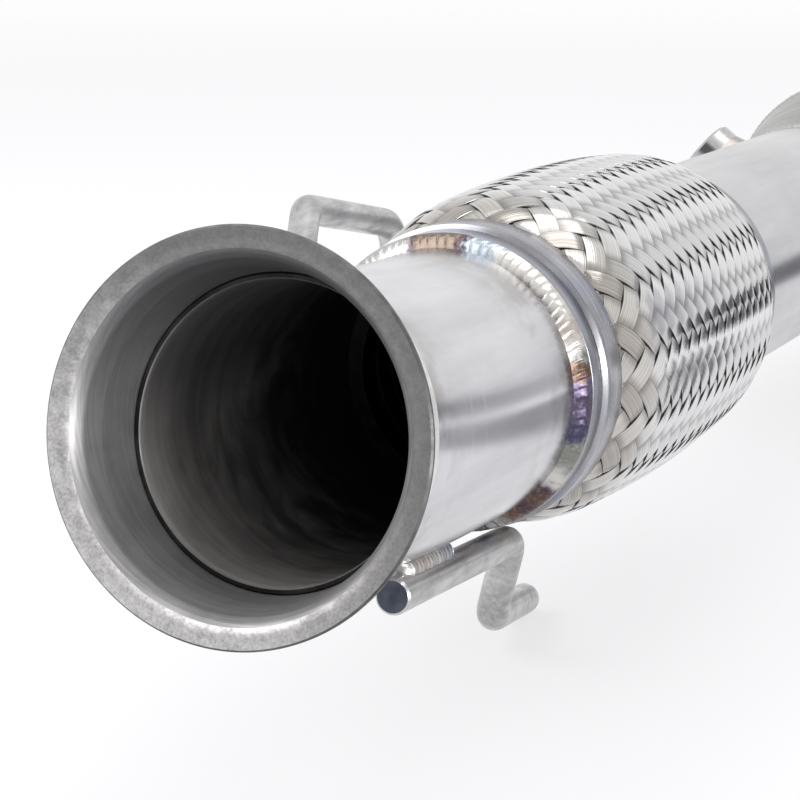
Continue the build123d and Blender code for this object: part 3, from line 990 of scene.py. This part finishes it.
def barrel(y):
    """Radius of the braid's inner side at a station."""
    d = abs(y - BRAID_MIDDLE)
    if d <= CROWN_REACH:
        return CUFF_R + BULGE - (CROWN_R - sqrt(CROWN_R**2 - d**2))
    if d >= BRAID_HALF - LAND:
        return CUFF_R
    from_centre = d - CROWN_REACH + SHOULDER_R * sin(shoulder_slope)
    return SHOULDER_TOP - SHOULDER_R * cos(shoulder_slope) + sqrt(SHOULDER_R**2 - from_centre**2)


# Ribbons of one family: their turn in radians per metre, raised wires on each, rows along them
STRANDS = 32
TWIST = 25.0
WIRES = 4
ALONG = 132
FADE_ROWS = 5
RIBBON_COVER = 1.02
RIBBON_LIFT = 0.00045
RIBBON_DROOP = 0.00010
RIBBON_BASE = 0.0007
RIBBON_TOP = 0.00014
RIBBON_BOTTOM = 0.00012
WIRE_RELIEF = 0.00002
ROW_INSET = 0.0002
EDGE_INSET = 0.0001


def ribbons(name, sense, mat):
    """One family of wire ribbons: each lies over two and under two of the other family."""
    ys = np.linspace(BRAID_FRONT + ROW_INSET, BRAID_REAR - ROW_INSET, ALONG)
    rs = np.array([barrel(y) for y in ys])
    slopes = np.gradient(rs, ys)
    columns = WIRES * 2 + 1
    block = 2 * columns
    verts, faces, uvs = [], [], []
    for strand in range(STRANDS):
        base = len(verts)
        waves = []
        for i, y in enumerate(ys):
            phi = sense * TWIST * (y - ys[0]) + 2 * pi * strand / STRANDS
            r = rs[i]
            stretch = hypot(1, slopes[i])
            lean = atan2(TWIST * r, stretch)
            width = 2 * pi * r / STRANDS * cos(lean) * RIBBON_COVER
            near_end = min(1.0, min(i, ALONG - 1 - i) / FADE_ROWS)
            wave = (phi * STRANDS / pi - 0.5) / 4
            waves.append(wave + (0.5 if sense < 0 else 0.0))
            lift = sense * RIBBON_LIFT * cos(2 * pi * wave) * near_end
            for outside in (True, False):
                for j in range(columns):
                    w = (j / (columns - 1) - 0.5) * width
                    droop = RIBBON_DROOP * (2 * j / (columns - 1) - 1) ** 2
                    place = y - sense * w * sin(lean) / stretch
                    place = min(max(place, BRAID_FRONT + EDGE_INSET), BRAID_REAR - EDGE_INSET)
                    shell = RIBBON_TOP + WIRE_RELIEF * (j % 2) if outside else -RIBBON_BOTTOM
                    rr = barrel(place) + RIBBON_BASE + lift - droop + shell
                    a = phi + w * cos(lean) / r
                    verts.append((rr * cos(a), place, AXIS_Z + rr * sin(a)))
        for i in range(ALONG - 1):
            row = base + i * block
            v0, v1 = waves[i], waves[i + 1]
            quads = []
            for j in range(columns - 1):
                u0, u1 = j / (columns - 1), (j + 1) / (columns - 1)
                a = row + j
                square = (a, a + 1, a + block + 1, a + block)
                quads.append((square, ((u0, v0), (u1, v0), (u1, v1), (u0, v1))))
            left, right, under = row, row + columns - 1, row + columns
            far = under + columns - 1
            left_uv = ((0, v0), (0, v0), (0, v1), (0, v1))
            right_uv = ((1, v0), (1, v0), (1, v1), (1, v1))
            under_uv = ((1, v0), (0, v0), (0, v1), (1, v1))
            quads.append(((under, left, left + block, under + block), left_uv))
            quads.append(((right, far, far + block, right + block), right_uv))
            quads.append(((far, under, under + block, far + block), under_uv))
            for quad, corners in quads:
                faces.append(quad if sense < 0 else quad[::-1])
                uvs.append(corners if sense < 0 else corners[::-1])
    return new_piece(name, verts, faces, uvs, (mat,), sharp=60, slot="braid", stands_for=("flex_braid",))


ribbons("braid_ribbons_a", 1, braid_lit)
ribbons("braid_ribbons_b", -1, braid_shaded)


# Hanger rods and the fillets that hold them
FILLET_ROWS = 170
FILLET_RING = 28
FILLET_PITCH = 0.0021
FILLET_SINK = 0.0006
FILLET_LOW = 0.0022
FILLET_TAPER = 0.0025


def around(centre, radius, angle):
    """Point beside the run, at an angle in degrees from +X towards +Z."""
    turn = radians(angle)
    return Vector(centre) + Vector((radius * cos(turn), 0, radius * sin(turn)))


def from_weld(x, station, height):
    """Point at a distance behind the outlet weld and a height over the axis."""
    return Vector((x, WELD_Y + station, AXIS_Z + height))


def rod_fillet(name, points, station, stands_for):
    """Rippled weld between a rod's first leg and the outlet pipe."""
    leg = (points[1] - points[0]).normalized()
    verts, faces, uvs = [], [], []
    for i in range(FILLET_ROWS + 1):
        t = ROD_WELD_LENGTH * i / FILLET_ROWS
        axis_point = points[0] + leg * (ROD_WELD_START + t)
        centre = outlet_at(station - ROD_WELD_START - t)[0]
        inward = centre - axis_point
        inward -= leg * inward.dot(leg)
        reach = inward.length - PIPE_R + FILLET_SINK
        inward.normalize()
        lateral = leg.cross(inward)
        to_end = min(t, ROD_WELD_LENGTH - t)
        taper = sqrt(min(1.0, to_end / FILLET_TAPER + 0.1))
        saw = 1 - (t / FILLET_PITCH) % 1.0
        swell = taper * (0.95 + 0.08 * saw + 0.04 * sin(t * 900))
        middle, spread = (FILLET_LOW + reach) / 2, (reach - FILLET_LOW) / 2
        for j in range(FILLET_RING):
            a = 2 * pi * j / FILLET_RING
            x = abs(cos(a)) ** 0.6 * (1 if cos(a) > 0 else -1) * ROD_WELD_WIDTH / 2 * swell
            verts.append(axis_point + lateral * x + inward * (middle + sin(a) * spread))
    for i in range(FILLET_ROWS):
        u0, u1 = i / FILLET_ROWS, (i + 1) / FILLET_ROWS
        for j in range(FILLET_RING):
            a, b = i * FILLET_RING + j, i * FILLET_RING + (j + 1) % FILLET_RING
            faces.append((a, a + FILLET_RING, b + FILLET_RING, b))
            v0, v1 = j / FILLET_RING, (j + 1) / FILLET_RING
            uvs.append(((u0, v0), (u1, v0), (u1, v1), (u0, v1)))
    last = FILLET_ROWS * FILLET_RING
    faces.append(tuple(range(FILLET_RING)))
    faces.append(tuple(reversed(range(last, last + FILLET_RING))))
    uvs += [((0, 0),) * FILLET_RING, ((1, 0),) * FILLET_RING]
    return new_piece(
        name,
        verts,
        faces,
        uvs,
        (rod_weld_look,),
        sharp=70,
        slot="weld",
        stands_for=(stands_for,),
    )


ROD_SEAT = PIPE_R + ROD_GAP + ROD_R
LOWER_START = 0.065
UPPER_START = 0.062
lower_points = [
    around(outlet_at(LOWER_START)[0], ROD_SEAT, -72),
    around(from_weld(0, 0.0307, 0), COLLAR_R + ROD_GAP + ROD_R, -81),
    Vector((-0.0046, WELD_Y + 0.0465, ROD_R + 0.0066)),
    Vector((-0.0115, WELD_Y + 0.0923, ROD_R - 0.00044)),
]
rod("hanger_rod_lower", lower_points, (steel_rod, steel_cut_dark_reflection), slot="rod", stands_for=("lower_hanger",))
rod_fillet("lower_hanger_bead", lower_points, LOWER_START, "lower_hanger_weld")
upper_points = [
    around(outlet_at(UPPER_START)[0], ROD_SEAT, 178),
    around(from_weld(0, -0.004, 0), MOUTH_R + ROD_R, 180),
    from_weld(-0.0826, 0.082, 0.0342),
    from_weld(-0.0866, 0.1556, 0.020),
    from_weld(-0.087, 0.158, -0.004),
]
rod("hanger_rod_upper", upper_points, (steel_rod, steel_cut_dark_reflection), slot="rod", stands_for=("upper_hanger",))
rod_fillet("upper_hanger_bead", upper_points, UPPER_START, "upper_hanger_weld")

# Looks of the solids that stay
carried = {
    "turbo_flange": steel_flange,
    "elbow": steel_far_shaded,
    "flange_weld": plain_weld_look,
    "rear_cone": steel_can,
    "front_cone": steel_can,
    "can_shell": steel_can,
    "can_mat": mat_look,
    "catalyst_brick": brick_look,
    "mid_pipe": steel_far_shaded,
    "lambda_boss": steel_boss,
    "boss_weld": plain_weld_look,
    "flex_rear_collar": steel_collar,
    "flex_rear_weld": plain_weld_look,
    "flex_liner": steel_painted_shade,
    "flex_bellows": steel_hidden_shaded,
}
for name, look in carried.items():
    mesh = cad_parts[name].data
    mesh.materials.clear()
    mesh.materials.append(look)


# Stage: a white floor that keeps the shadow, and flags that only reflections see
def seen_directly(tree):
    """1 for camera, glossy and transmission rays, 0 for the light that falls on things."""
    path = tree.nodes.new("ShaderNodeLightPath")
    seen = path.outputs["Is Camera Ray"]
    for name in ("Is Glossy Ray", "Is Transmission Ray"):
        either = tree.nodes.new("ShaderNodeMath")
        either.operation = "MAXIMUM"
        tree.links.new(seen, either.inputs[0])
        tree.links.new(path.outputs[name], either.inputs[1])
        seen = either.outputs[0]
    return seen


def stage_piece(name, corners, mat):
    """Flat card or floor that isn't part of the object."""
    mesh = bpy.data.meshes.new(name)
    mesh.from_pydata(corners, [], [tuple(range(len(corners)))])
    mesh.materials.append(mat)
    piece = bpy.data.objects.new(name, mesh)
    bpy.context.collection.objects.link(piece)
    return piece


# Share of its own glow that the floor shows, growing with the distance from the origin
GLOW_REACH = (0.9, 3.0)
GLOW_SHARE = (0.65, 1.0)
floor_mat = bpy.data.materials.new("floor_look")
floor_mat.use_nodes = True
tree = floor_mat.node_tree
bsdf = tree.nodes["Principled BSDF"]
bsdf.inputs["Base Color"].default_value = (0.91, 0.91, 0.925, 1)
bsdf.inputs["Roughness"].default_value = 0.8
bsdf.inputs["Specular IOR Level"].default_value = 0.1
glow = tree.nodes.new("ShaderNodeEmission")
glow.inputs["Color"].default_value = (0.98, 0.98, 0.985, 1)
glow.inputs["Strength"].default_value = 1.0
spot = tree.nodes.new("ShaderNodeTexCoord")
reach = tree.nodes.new("ShaderNodeVectorMath")
reach.operation = "LENGTH"
tree.links.new(spot.outputs["Object"], reach.inputs[0])
whiter = tree.nodes.new("ShaderNodeMapRange")
whiter.inputs["From Min"].default_value = GLOW_REACH[0]
whiter.inputs["From Max"].default_value = GLOW_REACH[1]
whiter.inputs["To Min"].default_value = GLOW_SHARE[0]
whiter.inputs["To Max"].default_value = GLOW_SHARE[1]
tree.links.new(reach.outputs["Value"], whiter.inputs["Value"])
share = tree.nodes.new("ShaderNodeMath")
share.operation = "MULTIPLY"
tree.links.new(whiter.outputs[0], share.inputs[1])
tree.links.new(seen_directly(tree), share.inputs[0])
blend = tree.nodes.new("ShaderNodeMixShader")
tree.links.new(share.outputs[0], blend.inputs[0])
tree.links.new(bsdf.outputs[0], blend.inputs[1])
tree.links.new(glow.outputs[0], blend.inputs[2])
tree.links.new(blend.outputs[0], tree.nodes["Material Output"].inputs["Surface"])
FLOOR = 40
floor_corners = [(-FLOOR, -FLOOR, 0), (FLOOR, -FLOOR, 0), (FLOOR, FLOOR, 0), (-FLOOR, FLOOR, 0)]
stage_piece("studio_floor", floor_corners, floor_mat)


def matt(name, colour):
    """Matt material of one colour."""
    made = bpy.data.materials.new(name)
    made.use_nodes = True
    inputs = made.node_tree.nodes["Principled BSDF"].inputs
    inputs["Base Color"].default_value = (*colour, 1)
    inputs["Roughness"].default_value = 0.9
    return made


def upright(start, end, low, high):
    """Corners of an upright card over a line on the floor."""
    return [(*start, low), (*end, low), (*end, high), (*start, high)]


dark_flag_look = matt("flag_look", (0.10, 0.10, 0.11))
grey_flag_look = matt("grey_flag_look", (0.60, 0.60, 0.62))
low_card = [(0.095, -0.47, 0.002), (0.175, -0.40, 0.002), (0.35, -0.055, 0.002), (0.215, -0.17, 0.002)]
for name, corners, mat in (
    ("front_flag", upright((-1.9, -2.3), (1.6, -2.3), 0.20, 1.7), dark_flag_look),
    ("low_flag", low_card, dark_flag_look),
    ("back_flag", upright((0.15, 0.22), (0.38, 0.12), 0.002, 0.085), dark_flag_look),
    ("side_flag", upright((0.68, 0.70), (1.10, 0.30), 0.10, 0.60), grey_flag_look),
):
    flag = stage_piece(name, corners, mat)
    flag.visible_camera = False
    flag.visible_diffuse = False
    flag.visible_shadow = False

world = bpy.data.worlds.new("studio_world")
bpy.context.scene.world = world
world.use_nodes = True
tree = world.node_tree
fill = tree.nodes["Background"]
fill.inputs["Color"].default_value = (0.97, 0.97, 1.0, 1)
fill.inputs["Strength"].default_value = 0.8
backdrop = tree.nodes.new("ShaderNodeBackground")
backdrop.inputs["Color"].default_value = (1, 1, 1, 1)
backdrop.inputs["Strength"].default_value = 1.0
blend = tree.nodes.new("ShaderNodeMixShader")
tree.links.new(seen_directly(tree), blend.inputs[0])
tree.links.new(fill.outputs[0], blend.inputs[1])
tree.links.new(backdrop.outputs[0], blend.inputs[2])
tree.links.new(blend.outputs[0], tree.nodes["World Output"].inputs["Surface"])


def softbox(name, place, target, size, energy):
    """Square lamp that faces a target."""
    data = bpy.data.lights.new(name, "AREA")
    data.shape = "SQUARE"
    data.size = size
    data.energy = energy
    made = bpy.data.objects.new(name, data)
    made.location = place
    made.rotation_mode = "QUATERNION"
    made.rotation_quaternion = (Vector(target) - Vector(place)).to_track_quat("-Z", "Y")
    bpy.context.collection.objects.link(made)


softbox("key_softbox", (-1.1, -1.2, 1.5), (0, -0.6, 0.1), size=1.2, energy=14)
softbox("top_softbox", (0.3, -0.2, 1.9), (0, -0.5, 0.1), size=1.6, energy=12)
softbox("bell_softbox", (0.95, -1.12, 0.16), (-0.04, -0.79, 0.10), size=0.24, energy=3.6)

# Camera, as in the photo
camera_data = bpy.data.cameras.new("view_camera")
camera_data.lens = 112.5
camera_data.sensor_width = 36
camera_data.clip_start = 0.01
camera_data.clip_end = 100
camera = bpy.data.objects.new("view_camera", camera_data)
bpy.context.collection.objects.link(camera)
right = Vector((0.9094, 0.4159, 0.0)).normalized()
forward = Vector((-0.4069, 0.8898, -0.2067)).normalized()
turn = Matrix((right, right.cross(forward), -forward)).transposed().to_4x4()
turn.translation = Vector((0.2666, WELD_Y - 0.611, 0.2271))
camera.matrix_world = turn
bpy.context.scene.camera = camera
bpy.context.scene.view_settings.view_transform = "Standard"
